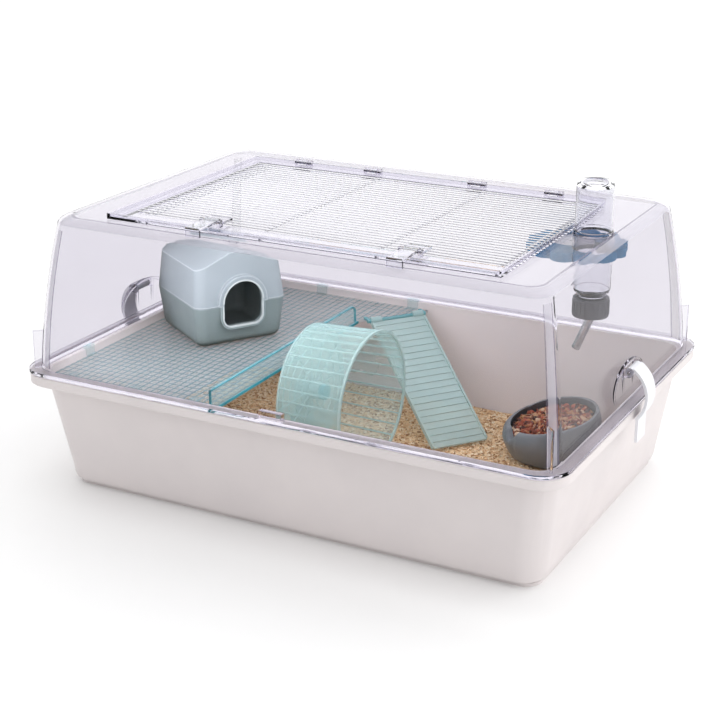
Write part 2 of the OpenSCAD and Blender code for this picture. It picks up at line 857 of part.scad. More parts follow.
module spout_ball() {
    color([0.7, 0.7, 0.72]) at_bend() translate([0, 0, -28]) sphere(r = 3.2);
}

// Scalloped plate clipped round the bottle's socket under the roof
module bottle_holder() {
    lobes = 12;
    bottle_off = [bottle_at[0] - holder_at[0], bottle_at[1] - holder_at[1]];
    disc_off = [disc_at[0] - holder_at[0], disc_at[1] - holder_at[1]];
    color([0.0, 0.43, 0.62])
        translate([holder_at[0], holder_at[1], holder_z]) linear_extrude(holder_t) difference() {
            union() {
                circle(r = 40);
                for (i = [0 : lobes - 1]) rotate(360 * i / lobes)
                    translate([34.5, 0]) circle(r = 11.5);
                translate(bottle_off) circle(r = socket_r + socket_wall + 2);
            }
            translate(bottle_off) circle(r = socket_r + socket_wall + 0.06);
            translate(disc_off) circle(r = 22);
        }
}

module holder_disc() {
    color([0.7, 0.7, 0.74, 0.8])
        translate([disc_at[0], disc_at[1], holder_z + 2]) difference() {
            union() {
                cylinder(r = 21.8, h = 4);
                cylinder(r = 1.8, h = 5.2);
            }
            translate([bottle_at[0] - disc_at[0], bottle_at[1] - disc_at[1], -1])
                cylinder(r = socket_r + socket_wall + 0.2, h = 8);
        }
}

tub();
bedding();
lid_shell();
door_frame();
long_wires();
cross_wires();
door_hinge_pins();
left_catch();
right_catch();
catch_pins();
left_clip();
right_clip();
clip_pins();
platform_deck();
platform_guard();
platform_hooks();
ramp_bar();
ramp_board();
wheel_stand();
wheel_axle();
wheel_cap();
wheel_drum();
house_base();
house_roof();
food_bowl();
food_mix();
bottle_body();
bottle_cap();
bottle_seal();
spout_tube();
spout_ball();
bottle_water();
bottle_holder();
holder_disc();
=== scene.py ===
import math
import random

import bpy
from mathutils import Matrix, Vector

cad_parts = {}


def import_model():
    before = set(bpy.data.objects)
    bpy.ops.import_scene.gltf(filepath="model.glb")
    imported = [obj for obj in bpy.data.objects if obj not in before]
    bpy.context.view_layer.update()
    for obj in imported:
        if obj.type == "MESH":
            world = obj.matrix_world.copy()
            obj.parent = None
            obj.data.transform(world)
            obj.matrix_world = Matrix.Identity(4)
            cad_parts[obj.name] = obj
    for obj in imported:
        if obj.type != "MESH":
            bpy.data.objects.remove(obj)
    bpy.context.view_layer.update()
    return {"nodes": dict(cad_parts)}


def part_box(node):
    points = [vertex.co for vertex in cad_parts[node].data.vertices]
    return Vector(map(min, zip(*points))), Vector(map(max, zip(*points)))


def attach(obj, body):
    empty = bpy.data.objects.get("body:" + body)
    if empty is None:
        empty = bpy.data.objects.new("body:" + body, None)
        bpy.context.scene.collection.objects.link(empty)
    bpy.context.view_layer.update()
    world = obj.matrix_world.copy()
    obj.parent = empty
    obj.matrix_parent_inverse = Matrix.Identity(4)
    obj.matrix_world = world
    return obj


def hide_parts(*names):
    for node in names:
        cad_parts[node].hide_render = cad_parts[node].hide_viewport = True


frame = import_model()
nodes = frame["nodes"]
MM = 0.001
WHITE = (1.0, 1.0, 1.0)

# Places and sizes that part.scad names too, in mm
DECK_TOP = 112.0
DECK_EDGE_X = -70.0                # the deck's free edge
DECK_CORNER_Y = 112.0              # where its sloping corner starts
COVER_X, COVER_Y = 275.0, 195.0
FOOT_Z, SHOULDER_Z = 123.0, 260.0  # the cover's lower edge, and where its top starts to round
HOUSE_TURN = math.radians(57)
HOUSE_AT = Vector((-183.5, 22.5, 0.0)) * MM

# ---------------------------------------------------------------- materials


def new_material(name):
    m = bpy.data.materials.new(name)
    m.use_nodes = True
    return m, m.node_tree, m.node_tree.nodes["Principled BSDF"]


def add(tree, kind, **values):
    n = tree.nodes.new(kind)
    for k, v in values.items():
        if hasattr(n, k):
            setattr(n, k, v)
        else:
            n.inputs[k].default_value = v
    return n


def object_coords(tree):
    return add(tree, "ShaderNodeTexCoord").outputs["Object"]


def noise(tree, scale, detail=3.0):
    n = add(tree, "ShaderNodeTexNoise", Scale=scale, Detail=detail)
    tree.links.new(object_coords(tree), n.inputs["Vector"])
    return n.outputs["Fac"]


def grey(value):
    return (value, value, value)


def ramp(tree, source, stops):
    """Colour ramp over (position, colour) stops."""
    r = add(tree, "ShaderNodeValToRGB")
    els = r.color_ramp.elements
    while len(els) < len(stops):
        els.new(0.5)
    for e, (pos, col) in zip(els, stops):
        e.position = pos
        e.color = (*col, 1.0)
    tree.links.new(source, r.inputs["Fac"])
    return r.outputs["Color"]


def span(tree, source, low, high, to_low=0.0, to_high=1.0):
    """Source scaled so that low gives to_low and high gives to_high, clamped there."""
    r = add(tree, "ShaderNodeMapRange")
    for key, value in (("From Min", low), ("From Max", high), ("To Min", to_low),
                       ("To Max", to_high)):
        r.inputs[key].default_value = value
    tree.links.new(source, r.inputs["Value"])
    return r.outputs["Result"]


def calc(tree, operation, *values):
    """Math node over numbers and sockets."""
    n = add(tree, "ShaderNodeMath", operation=operation)
    for socket, value in zip(n.inputs, values):
        if isinstance(value, float):
            socket.default_value = value
        else:
            tree.links.new(value, socket)
    return n.outputs["Value"]


def bump(tree, bsdf, height, strength, distance):
    b = add(tree, "ShaderNodeBump", Strength=strength, Distance=distance)
    tree.links.new(height, b.inputs["Height"])
    tree.links.new(b.outputs["Normal"], bsdf.inputs["Normal"])


def edges(tree, radius):
    """1 at a crease or rim, 0 on the open surface."""
    bevel = add(tree, "ShaderNodeBevel", samples=4, Radius=radius)
    g = add(tree, "ShaderNodeNewGeometry")
    dot = add(tree, "ShaderNodeVectorMath", operation="DOT_PRODUCT")
    tree.links.new(bevel.outputs["Normal"], dot.inputs[0])
    tree.links.new(g.outputs["Normal"], dot.inputs[1])
    return span(tree, dot.outputs["Value"], 0.995, 0.90)


MIX_FACTOR, MIX_A, MIX_B, MIX_RESULT = 0, 6, 7, 2      # a Mix node's sockets for colours


def blend(tree, factor, first, second, mode="MIX"):
    """Second over first by factor; each can be a socket or a value."""
    mix = add(tree, "ShaderNodeMix", data_type="RGBA", blend_type=mode)
    for socket, value in ((MIX_FACTOR, factor), (MIX_A, first), (MIX_B, second)):
        if isinstance(value, tuple):
            mix.inputs[socket].default_value = (*value, 1.0)
        elif isinstance(value, float):
            mix.inputs[socket].default_value = value
        else:
            tree.links.new(value, mix.inputs[socket])
    return mix.outputs[MIX_RESULT]


def roughness(tree, bsdf, scale, middle, spread):
    """Roughness that wanders round a middle value."""
    r = ramp(tree, noise(tree, scale), [(0.3, grey(middle - spread)), (0.7, grey(middle + spread))])
    tree.links.new(r, bsdf.inputs["Roughness"])


HIGHLIGHT_EDGE_REACH = 2.2 * MM               # how far the painted edge highlight reaches from a corner
CAVITY_SHADE_REACH = 50 * MM             # how near a wall must be for the painted shade to darken an enclosed place
SCATTER = 6 * MM                   # how far light spreads inside a plastic that lets it in


def plastic(name, dark, light, rough=0.4, coat=0.0, subsurface=0.0, edge_highlight=None, cavity_shade=None,
            under=None):
    """Moulded plastic with faint colour blotches and a fine grain. Colours can be given for a
    painted highlight along edges, for painted shade in enclosed places and for painted shade on
    faces that look down."""
    m, t, b = new_material(name)
    col = ramp(t, noise(t, 14.0, 4.0), [(0.3, dark), (0.7, light)])
    # painted highlight: a lighter colour along edges and creases
    if edge_highlight:
        col = blend(t, edges(t, HIGHLIGHT_EDGE_REACH), col, edge_highlight)
    # painted shade: a darker colour on faces that look down
    if under:
        g = add(t, "ShaderNodeNewGeometry")
        sep = add(t, "ShaderNodeSeparateXYZ")
        t.links.new(g.outputs["Normal"], sep.inputs["Vector"])
        col = blend(t, span(t, sep.outputs["Z"], 0.15, -0.35), col, under)
    # painted shade: ambient occlusion darkens enclosed places
    if cavity_shade:
        ao = add(t, "ShaderNodeAmbientOcclusion", samples=6, Distance=CAVITY_SHADE_REACH)
        shade = ramp(t, ao.outputs["AO"], [(0.15, cavity_shade), (0.55, WHITE)])
        col = blend(t, 1.0, col, shade, "MULTIPLY")
    t.links.new(col, b.inputs["Base Color"])
    roughness(t, b, 60.0, rough, 0.06)
    b.inputs["IOR"].default_value = 1.49
    b.inputs["Coat Weight"].default_value = coat
    b.inputs["Subsurface Weight"].default_value = subsurface
    b.inputs["Subsurface Radius"].default_value = grey(SCATTER)
    bump(t, b, noise(t, 900.0, 2.0), 0.25, 0.04 * MM)
    return m


def see_through(name, face, edge, stops, rough=0.1):
    """Tinted plastic sheet. Its colour goes from face to edge, and its opacity along stops,
    as it turns edge-on, with faint smears."""
    m, t, b = new_material(name)
    turned = add(t, "ShaderNodeLayerWeight", Blend=0.5).outputs["Facing"]
    opacity = ramp(t, turned, [(position, grey(alpha)) for position, alpha in stops])
    smear = span(t, noise(t, 9.0, 4.0), 0.35, 0.65, 0.88, 1.12)
    t.links.new(calc(t, "MULTIPLY", opacity, smear), b.inputs["Alpha"])
    t.links.new(ramp(t, turned, [(0.55, face), (0.95, edge)]), b.inputs["Base Color"])
    b.inputs["Roughness"].default_value = rough
    b.inputs["IOR"].default_value = 1.5
    bump(t, b, noise(t, 22.0, 2.0), 0.1, 1.5 * MM)
    return m


def clear(name, tint, edge, line, ior=1.45):
    """Clear polystyrene: refracts, with slight waves from moulding; its creases and rims take
    colour edge as painted shade, standing in for dark refraction lines there.
    """
    m, t, b = new_material(name)
    col = ramp(t, noise(t, 10.0), [(0.3, tint), (0.7, tuple(min(1.0, c + 0.02) for c in tint))])
    # painted shade: the edge colour darkens creases and rims
    t.links.new(blend(t, edges(t, line), col, edge), b.inputs["Base Color"])
    b.inputs["Transmission Weight"].default_value = 1.0
    b.inputs["Roughness"].default_value = 0.015
    b.inputs["IOR"].default_value = ior
    bump(t, b, noise(t, 16.0, 2.0), 0.06, 1.0 * MM)
    return m


def metal(name, dark, light, rough=0.25):
    m, t, b = new_material(name)
    t.links.new(ramp(t, noise(t, 120.0), [(0.3, dark), (0.7, light)]), b.inputs["Base Color"])
    b.inputs["Metallic"].default_value = 1.0
    roughness(t, b, 300.0, rough, 0.08)
    return m


def grains(name, stops, rough=0.85):
    """Loose pieces: each one takes its own colour."""
    m, t, b = new_material(name)
    g = add(t, "ShaderNodeNewGeometry")
    base = ramp(t, g.outputs["Random Per Island"], stops)
    shade = ramp(t, noise(t, 420.0, 4.0), [(0.25, grey(0.72)), (0.75, WHITE)])
    t.links.new(blend(t, 1.0, base, shade, "MULTIPLY"), b.inputs["Base Color"])
    b.inputs["Roughness"].default_value = rough
    bump(t, b, noise(t, 700.0, 4.0), 0.6, 0.4 * MM)
    return m


def grid_sheet(name, tint, line_tint, cells, line, alpha_open, alpha_line, above):
    """Tinted sheet with a fine moulded grid of opaque lines across X and Y, over a height."""
    m, t, b = new_material(name)
    sep = add(t, "ShaderNodeSeparateXYZ")
    t.links.new(object_coords(t), sep.inputs["Vector"])
    across = []
    for axis, cell in zip("XY", cells):
        place = calc(t, "FRACT", calc(t, "MULTIPLY", sep.outputs[axis], 1.0 / cell))
        across.append(calc(t, "LESS_THAN", place, line / cell))
    mask = calc(t, "MULTIPLY", calc(t, "MAXIMUM", *across),
                calc(t, "GREATER_THAN", sep.outputs["Z"], above))
    t.links.new(ramp(t, mask, [(0.0, tint), (1.0, line_tint)]), b.inputs["Base Color"])
    t.links.new(span(t, mask, 0.0, 1.0, alpha_open, alpha_line), b.inputs["Alpha"])
    b.inputs["Roughness"].default_value = 0.3
    bump(t, b, mask, 0.4, 0.4 * MM)
    return m


# Opacities from face-on (0) to edge-on (1)
FROST = [(0.0, 0.44), (0.5, 0.50), (0.85, 0.70), (1.0, 0.88)]
THIN = [(0.0, 0.10), (0.5, 0.15), (0.85, 0.5), (1.0, 0.8)]
SKIN = [(0.0, 0.34), (0.5, 0.42), (0.85, 0.6), (1.0, 0.8)]
SOLID = [(0.0, 0.55), (0.5, 0.65), (1.0, 0.9)]
# opacities of the painted highlight strips on the cover's rounded edges
SHEEN_OPACITY = [(0.0, 0.55), (0.6, 0.62), (1.0, 0.7)]
SHOULDER_HIGHLIGHT_OPACITY = [(0.0, 0.36), (0.6, 0.42), (1.0, 0.5)]
DARK = [(0.0, 0.5), (1.0, 0.7)]
WET = [(0.0, 0.02), (0.6, 0.05), (1.0, 0.2)]

# lavender of the painted shade along the clear parts' creases and rims
PAINTED_EDGE_SHADE = (0.50, 0.48, 0.60)
# whites of the painted highlight on the cover's rounded edges
SHEEN_WHITE, SHEEN_WHITE_EDGE = (0.95, 0.95, 0.98), (0.88, 0.88, 0.93)
# colour of the painted shade inside the house
PAINTED_CAVITY_SHADE = (0.10, 0.12, 0.08)

TRAY = plastic("tray_plastic", (0.71, 0.66, 0.66), (0.76, 0.705, 0.70), rough=0.42, subsurface=0.05)
CLEAR = clear("clear_cover", (0.825, 0.81, 0.85), PAINTED_EDGE_SHADE, 1.6 * MM, ior=1.14)
CLEAR_DOOR = clear("clear_door", (0.84, 0.83, 0.89), PAINTED_EDGE_SHADE, 1.0 * MM, ior=1.3)
CLEAR_SMALL = clear("clear_small", (0.88, 0.88, 0.92), PAINTED_EDGE_SHADE, 1.0 * MM)
# painted highlight strips along the cover's rounded edges
SHEEN = see_through("cover_sheen", SHEEN_WHITE, SHEEN_WHITE_EDGE, SHEEN_OPACITY, rough=0.2)
SHOULDER_HIGHLIGHT = see_through("cover_shoulder_highlight", SHEEN_WHITE, SHEEN_WHITE_EDGE, SHOULDER_HIGHLIGHT_OPACITY, rough=0.2)
# painted dark lines beside the painted highlight, standing in for refraction lines
PAINTED_DARK_LINE = see_through("cover_painted_dark_line", (0.30, 0.28, 0.38), (0.24, 0.22, 0.32), DARK, rough=0.2)
# the bottle's edge colour is painted shade along its creases and rims
BOTTLE = clear("bottle_clear", (0.90, 0.90, 0.93), (0.60, 0.60, 0.68), 1.2 * MM)
WATER = see_through("water", (0.80, 0.86, 0.90), (0.88, 0.92, 0.95), WET, rough=0.02)
# the wires' under colour is painted shade on their undersides
WIRE = plastic("white_wire", (0.90, 0.90, 0.93), (0.96, 0.96, 0.98), rough=0.3,
               under=(0.33, 0.32, 0.40))
CLIP = plastic("white_clip", (0.78, 0.78, 0.82), (0.86, 0.86, 0.90), rough=0.32, coat=0.2)
TEAL = see_through("teal_frosted", (0.50, 0.70, 0.68), (0.40, 0.66, 0.66), FROST, rough=0.3)
TEAL_SKIN = see_through("teal_skin", (0.45, 0.68, 0.66), (0.34, 0.62, 0.62), SKIN, rough=0.22)
TEAL_THIN = see_through("teal_thin", (0.45, 0.70, 0.72), (0.12, 0.50, 0.55), THIN, rough=0.12)
TEAL_DARK = see_through("teal_solid", (0.16, 0.46, 0.50), (0.08, 0.40, 0.46), SOLID, rough=0.25)
TEAL_EDGE = plastic("teal_edge", (0.03, 0.27, 0.33), (0.06, 0.36, 0.42), rough=0.3)
DECK = grid_sheet("teal_grid", (0.78, 0.88, 0.90), (0.05, 0.19, 0.23), cells=(7.3 * MM, 9 * MM),
                  line=1.2 * MM, alpha_open=0.17, alpha_line=0.90, above=(DECK_TOP - 0.5) * MM)
# the house's pale edge colours are a painted highlight along its edges, and its cavity colour
# paints shade inside it
SAGE_LOW = plastic("sage_base", (0.22, 0.275, 0.28), (0.265, 0.325, 0.325), rough=0.42,
                   edge_highlight=(0.42, 0.50, 0.51), cavity_shade=PAINTED_CAVITY_SHADE)
SAGE_TOP = plastic("sage_roof", (0.32, 0.375, 0.40), (0.375, 0.43, 0.46), rough=0.38,
                   edge_highlight=(0.62, 0.68, 0.72), cavity_shade=PAINTED_CAVITY_SHADE)
LIP = plastic("doorway_lip", (0.60, 0.66, 0.66), (0.68, 0.74, 0.73), rough=0.35)
SLATE = plastic("bowl_slate", (0.12, 0.135, 0.15), (0.165, 0.185, 0.20), rough=0.35, coat=0.2)
CAP = plastic("cap_grey", (0.085, 0.085, 0.095), (0.115, 0.115, 0.125), rough=0.5)
BLUE = plastic("petrol_blue", (0.0, 0.13, 0.30), (0.004, 0.17, 0.36), rough=0.55)
DISC = plastic("disc_grey", (0.50, 0.50, 0.55), (0.58, 0.58, 0.63), rough=0.3)
STEEL = metal("steel", (0.36, 0.36, 0.37), (0.56, 0.56, 0.57), 0.2)
SEAL = plastic("seal_rubber", (0.02, 0.02, 0.02), (0.04, 0.04, 0.04), rough=0.7)
PELLETS = grains("bedding_pellets", [(0.0, (0.32, 0.15, 0.06)), (0.25, (0.68, 0.42, 0.21)),
                                     (0.6, (0.93, 0.68, 0.41)), (1.0, (0.99, 0.86, 0.62))])
FOOD = grains("seed_mix", [(0.0, (0.05, 0.018, 0.012)), (0.35, (0.22, 0.045, 0.02)),
                           (0.6, (0.46, 0.10, 0.045)), (0.8, (0.50, 0.26, 0.10)),
                           (1.0, (0.72, 0.52, 0.36))], rough=0.6)

# ---------------------------------------------------------------- mesh helpers


def put(name, data):
    """A new object in the scene."""
    o = bpy.data.objects.new(name, data)
    bpy.context.scene.collection.objects.link(o)
    return o


def make_object(name, verts, faces, mat, body, smooth_angle):
    """A visible piece that rides a body, smooth where its faces meet under the angle."""
    me = bpy.data.meshes.new(name)
    me.from_pydata([tuple(v) for v in verts], [], faces)
    me.validate()
    o = put(name, me)
    me.materials.append(mat)
    me.shade_smooth()
    me.set_sharp_from_angle(angle=math.radians(smooth_angle))
    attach(o, body)
    return o


def smooth_node(name, mat):
    """A CAD node keeps its shape and gets soft shading across its shallow facets."""
    o = nodes[name]
    me = o.data
    me.materials.clear()
    me.materials.append(mat)
    if "custom_normal" in me.attributes:
        me.attributes.remove(me.attributes["custom_normal"])
    me.shade_smooth()
    w = o.modifiers.new("weld", "WELD")
    w.merge_threshold = 2e-6
    e = o.modifiers.new("split", "EDGE_SPLIT")
    e.split_angle = math.radians(30)
    n = o.modifiers.new("normals", "WEIGHTED_NORMAL")
    n.keep_sharp = True


def box_mesh(verts, faces, m, size):
    """Adds a box of the given size, centred, under matrix m."""
    k = len(verts)
    for z in (-0.5, 0.5):
        for x, y in ((-0.5, -0.5), (0.5, -0.5), (0.5, 0.5), (-0.5, 0.5)):
            verts.append(m @ Vector((x * size[0], y * size[1], z * size[2])))
    faces += [(k + 3, k + 2, k + 1, k), (k + 4, k + 5, k + 6, k + 7)]
    faces += [(k + i, k + (i + 1) % 4, k + 4 + (i + 1) % 4, k + 4 + i) for i in range(4)]


def pebble(verts, faces, m, size, sides):
    """Adds a short rounded pellet of the given size, centred, along local Z under matrix m."""
    k = len(verts)
    for z, r in ((-0.5, 0.55), (-0.32, 1.0), (0.32, 1.0), (0.5, 0.55)):
        for i in range(sides):
            a = 2 * math.pi * i / sides
            p = Vector((0.5 * r * math.cos(a) * size[0], 0.5 * r * math.sin(a) * size[1],
                        z * size[2]))
            verts.append(m @ p)
    for j in range(3):
        for i in range(sides):
            n = (i + 1) % sides
            faces.append((k + j * sides + i, k + j * sides + n,
                          k + (j + 1) * sides + n, k + (j + 1) * sides + i))
    faces.append(tuple(k + i for i in reversed(range(sides))))
    faces.append(tuple(k + 3 * sides + i for i in range(sides)))


def spin(rng):
    """A turn about Z by a random angle."""
    return Matrix.Rotation(rng.uniform(0, math.tau), 4, "Z")


def turn(angle, axis):
    return Matrix.Rotation(angle, 4, axis)


def move(x, y, z):
    return Matrix.Translation((x, y, z))


# ---------------------------------------------------------------- CAD nodes kept as they are

for name, mat in {
    "tub": TRAY, "lid_shell": CLEAR, "door_frame": CLEAR_DOOR, "long_wires": WIRE,
    "cross_wires": WIRE, "door_hinge_pins": STEEL, "left_catch": CLEAR_SMALL,
    "right_catch": CLEAR_SMALL, "catch_pins": STEEL, "left_clip": CLIP, "right_clip": CLIP,
    "clip_pins": STEEL, "platform_deck": DECK, "platform_guard": TEAL_THIN,
    "platform_hooks": TEAL_THIN, "ramp_bar": TEAL_DARK, "ramp_board": TEAL,
    "wheel_stand": TEAL_DARK, "wheel_axle": TEAL_DARK, "wheel_cap": TEAL_DARK,
    "house_base": SAGE_LOW, "house_roof": SAGE_TOP, "bottle_body": BOTTLE,
    "bottle_cap": CAP, "bottle_seal": SEAL, "spout_tube": STEEL, "spout_ball": STEEL,
    "bottle_water": WATER, "bottle_holder": BLUE, "holder_disc": DISC,
}.items():
    smooth_node(name, mat)

# ---------------------------------------------------------------- bedding

BED_GAP, BED_CORNER = 1.2, 22.0    # to the tray's wall, and the corner's radius, in mm
BED_CELL = 8.0
BED_DROP = 2.5                     # of the surface that the pellets lie on, below the node's top
PELLET_COUNT = 15000


def inside(x, y, hx, hy, r):
    """Whether a point is in a rectangle of half lengths hx and hy with corner radius r."""
    dx, dy = abs(x) - (hx - r), abs(y) - (hy - r)
    if dx <= 0 or dy <= 0:
        return abs(x) <= hx and abs(y) <= hy
    return dx * dx + dy * dy <= r * r


def bedding():
    """An uneven bed with loose pellets lying on it."""
    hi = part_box("bedding")[1]
    rng = random.Random(11)
    hx, hy, r = hi.x - BED_GAP * MM, hi.y - BED_GAP * MM, BED_CORNER * MM
    surface = hi.z - BED_DROP * MM
    verts, faces = [], []
    nx, ny = int(2 * hx / (BED_CELL * MM)), int(2 * hy / (BED_CELL * MM))
    index = {}
    for j in range(ny + 1):
        for i in range(nx + 1):
            x, y = -hx + 2 * hx * i / nx, -hy + 2 * hy * j / ny
            if inside(x, y, hx, hy, r):
                index[i, j] = len(verts)
                verts.append(Vector((x, y, surface + rng.uniform(-0.8, 0.4) * MM)))
    for j in range(ny):
        for i in range(nx):
            corners = [(i, j), (i + 1, j), (i + 1, j + 1), (i, j + 1)]
            if all(k in index for k in corners):
                faces.append(tuple(index[k] for k in corners))
    bed = make_object("bedding_surface", verts, faces, PELLETS, "tray", 180)
    bed.modifiers.new("thick", "SOLIDIFY").thickness = 8 * MM
    verts, faces = [], []
    made = 0
    while made < PELLET_COUNT:
        x, y = rng.uniform(-hx, hx), rng.uniform(-hy, hy)
        if not inside(x, y, hx - 3 * MM, hy - 3 * MM, r):
            continue
        d, length = rng.uniform(2.0, 3.2) * MM, rng.uniform(3.0, 6.0) * MM
        tilt = turn(rng.gauss(math.pi / 2, 0.16), "X")
        m = move(x, y, surface + rng.uniform(-0.3, 0.9) * MM) @ spin(rng) @ tilt
        pebble(verts, faces, m, (d, d * 0.85, length), 5)
        made += 1
    loose = make_object("bedding_pellets", verts, faces, PELLETS, "tray", 40)
    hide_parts("bedding")


bedding()

# ---------------------------------------------------------------- food

RIM_DIR = math.radians(-150)       # the side on which the bowl's rim is lowest
RIM_TILT = math.tan(math.radians(13))
RIM_H = 41.0                       # of the rim at the bowl's axis, in mm
FOOD_R = 39.5
FOOD_COUNT = 900
blo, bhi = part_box("food_bowl")
BOWL_FOOT = Vector(((blo.x + bhi.x) / 2, (blo.y + bhi.y) / 2, blo.z))


def rim_height(x, y):
    """Height of the leaning rim above the bowl's base, in mm, at x and y from its axis."""
    return RIM_H - (x * math.cos(RIM_DIR) + y * math.sin(RIM_DIR)) * RIM_TILT


def bowl_point(x, y, z):
    """A point in mm from the foot of the bowl's axis."""
    return BOWL_FOOT + Vector((x, y, z)) * MM


def food():
    """Seeds and flakes of three kinds, heaped over a plain bed."""
    rng = random.Random(5)
    verts, faces = [], []
    for _ in range(FOOD_COUNT):
        rad = FOOD_R * math.sqrt(rng.random())
        a = rng.uniform(0, math.tau)
        x, y = rad * math.cos(a), rad * math.sin(a)
        z = rim_height(x, y) - 4.0 - 3.5 * (rad / FOOD_R) ** 3 - rng.uniform(0, 4)
        kind = rng.random()
        if kind < 0.4:
            size = (rng.uniform(3, 4.5), rng.uniform(3, 4.5), rng.uniform(6, 10))
        elif kind < 0.7:
            size = (rng.uniform(5, 7), rng.uniform(2, 3), rng.uniform(7, 10))
        else:
            size = (rng.uniform(5, 8), rng.uniform(4, 6), rng.uniform(5, 7))
        m = (Matrix.Translation(bowl_point(x, y, z)) @ spin(rng)
             @ turn(rng.uniform(0.9, 2.2), "X") @ spin(rng))
        pebble(verts, faces, m, [v * MM for v in size], 7)
    o = make_object("seed_mix_pieces", verts, faces, FOOD, "bowl", 50)
    k, r = 48, FOOD_R + 1.5
    verts = [bowl_point(0, 0, RIM_H - 9)]
    for i in range(k):
        x, y = r * math.cos(math.tau * i / k), r * math.sin(math.tau * i / k)
        verts.append(bowl_point(x, y, rim_height(x, y) - 10))
    bed = make_object("seed_mix_bed", verts,
                      [(0, 1 + i, 1 + (i + 1) % k) for i in range(k)], FOOD, "bowl", 60)
    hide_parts("food_mix")


food()

# ---------------------------------------------------------------- bowl

BOWL_TOP = 54.0                    # height that the profile below is drawn to, in mm
PETALS, PETAL_DEPTH = 9, 1.3
NOTCH_DEPTH, NOTCH_HALF, NOTCH_OFF = 11.0, 0.2, 0.35   # in mm and radians, off the rim's low side
BOWL_OUTER = [(0.0, 0.0), (37.0, 0.0), (40.5, 1.2), (43.2, 5.0), (46.2, 11.5), (48.2, 18.0),
              (49.0, 23.0), (48.8, 30.0), (47.6, 38.0), (45.8, 46.0), (44.6, 51.5),
              (43.6, BOWL_TOP)]
BOWL_INNER = [(42.4, BOWL_TOP + 0.5), (41.0, BOWL_TOP), (41.2, 50.0), (43.0, 42.0), (45.0, 32.0),
              (45.4, 22.0), (43.0, 13.0), (37.0, 8.0), (0.0, 8.0)]


def bowl():
    """Turned bowl with shallow petals outside and a V notch in its leaning rim."""
    n = 192
    verts, faces = [], []
    profile = BOWL_OUTER + BOWL_INNER
    for j, (r, z) in enumerate(profile):
        for i in range(n):
            a = math.tau * i / n
            rr = r
            if j < len(BOWL_OUTER) and 4 < z < 52:
                fold = abs(math.remainder(a * PETALS, math.tau)) / math.pi
                swell = math.sin(math.pi * (z - 4) / 48)
                rr -= PETAL_DEPTH * (1 - min(1.0, fold * 3.5)) * swell
            x, y = rr * math.cos(a), rr * math.sin(a)
            away = abs(math.remainder(a - RIM_DIR - NOTCH_OFF, math.tau))
            rim = rim_height(x, y) - NOTCH_DEPTH * max(0.0, 1 - away / NOTCH_HALF)
            lift = min(1.0, max(0.0, (z - 9) / (BOWL_TOP - 9)))
            verts.append(bowl_point(x, y, z * (1 + (rim / BOWL_TOP - 1) * lift)))
    for j in range(len(profile) - 1):
        for i in range(n):
            k = (i + 1) % n
            faces.append((j * n + i, j * n + k, (j + 1) * n + k, (j + 1) * n + i))
    o = make_object("bowl_shell", verts, faces, SLATE, "bowl", 50)
    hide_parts("food_bowl")


bowl()

# ---------------------------------------------------------------- wheel

WHEEL_TAPER = 3.4                  # how much smaller the closed side's radius is, in mm
RIM_DEPTH = 2.4
BARS, SPOKES = 36, 12
SPOKE_RINGS = (20, 32, 44, 56)
BORE_R, HUB_R = 4.2, 9.0
WHEEL_SEG = 120


def wheel():
    """Tapered drum: thin skin, rims, bars, and a closed side with a hub, spokes and rings."""
    wlo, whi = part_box("wheel_drum")
    c = (wlo + whi) / 2
    width = (whi.x - wlo.x) / MM
    r1 = (whi.z - wlo.z) / 2 / MM
    r0 = r1 - WHEEL_TAPER
    n = WHEEL_SEG
    rims, ribs, skin = ([], []), ([], []), ([], [])

    def loop(verts, x, r):
        for i in range(n):
            a = math.tau * i / n
            verts.append(Vector((wlo.x + x * MM, c.y + r * MM * math.cos(a),
                                 c.z + r * MM * math.sin(a))))

    def ring(x0, inner0, outer0, x1, inner1, outer1):
        verts, faces = rims
        k = len(verts)
        for x, r in ((x0, inner0), (x0, outer0), (x1, outer1), (x1, inner1)):
            loop(verts, x, r)
        for j in range(4):
            for i in range(n):
                p, q = (i + 1) % n, (j + 1) % 4
                faces.append((k + j * n + i, k + j * n + p, k + q * n + p, k + q * n + i))

    lean = turn(-math.atan(WHEEL_TAPER / width), "Y")
    for i in range(BARS):
        m = (move(wlo.x + width / 2 * MM, c.y, c.z) @ turn(math.tau * i / BARS, "X")
             @ move(0, 0, ((r0 + r1) / 2 - 1.3) * MM) @ lean)
        box_mesh(*ribs, m, ((width - 3) * MM, 1.3 * MM, 1.5 * MM))
    ring(0.0, r0 - RIM_DEPTH, r0, 2.0, r0 - RIM_DEPTH, r0 + 0.1)
    ring(width - 2.4, r1 - RIM_DEPTH, r1 - 0.1, width, r1 - RIM_DEPTH, r1)
    ring(0.0, BORE_R, r0 - 2.9, 2.0, BORE_R, r0 - 2.9)    # closed side
    ring(2.0, BORE_R, HUB_R, 13.0, BORE_R, HUB_R)
    for r in SPOKE_RINGS:
        ring(1.9, r, r + 1.4, 3.1, r, r + 1.4)
    for i in range(SPOKES):
        m = (move(wlo.x + 2.7 * MM, c.y, c.z) @ turn(math.tau * i / SPOKES, "X")
             @ move(0, 0, 35 * MM))
        box_mesh(*rims, m, (1.6 * MM, 1.6 * MM, 54 * MM))
    loop(skin[0], 1.0, r0 - 0.5)
    loop(skin[0], width - 1, r1 - 0.5)
    skin[1].extend((i, (i + 1) % n, n + (i + 1) % n, n + i) for i in range(n))
    skin = make_object("wheel_skin", *skin, TEAL_SKIN, "running_wheel", 60)
    rim = make_object("wheel_rims", *rims, TEAL, "running_wheel", 40)
    ribs = make_object("wheel_ribs", *ribs, TEAL, "running_wheel", 30)
    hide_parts("wheel_drum")


wheel()

# ---------------------------------------------------------------- raised floor's edges

STRIP = 1.1                        # thickness of the guard's edge strip, in mm
GUARD_R = 9.0                      # radius of the guard's rear top corner


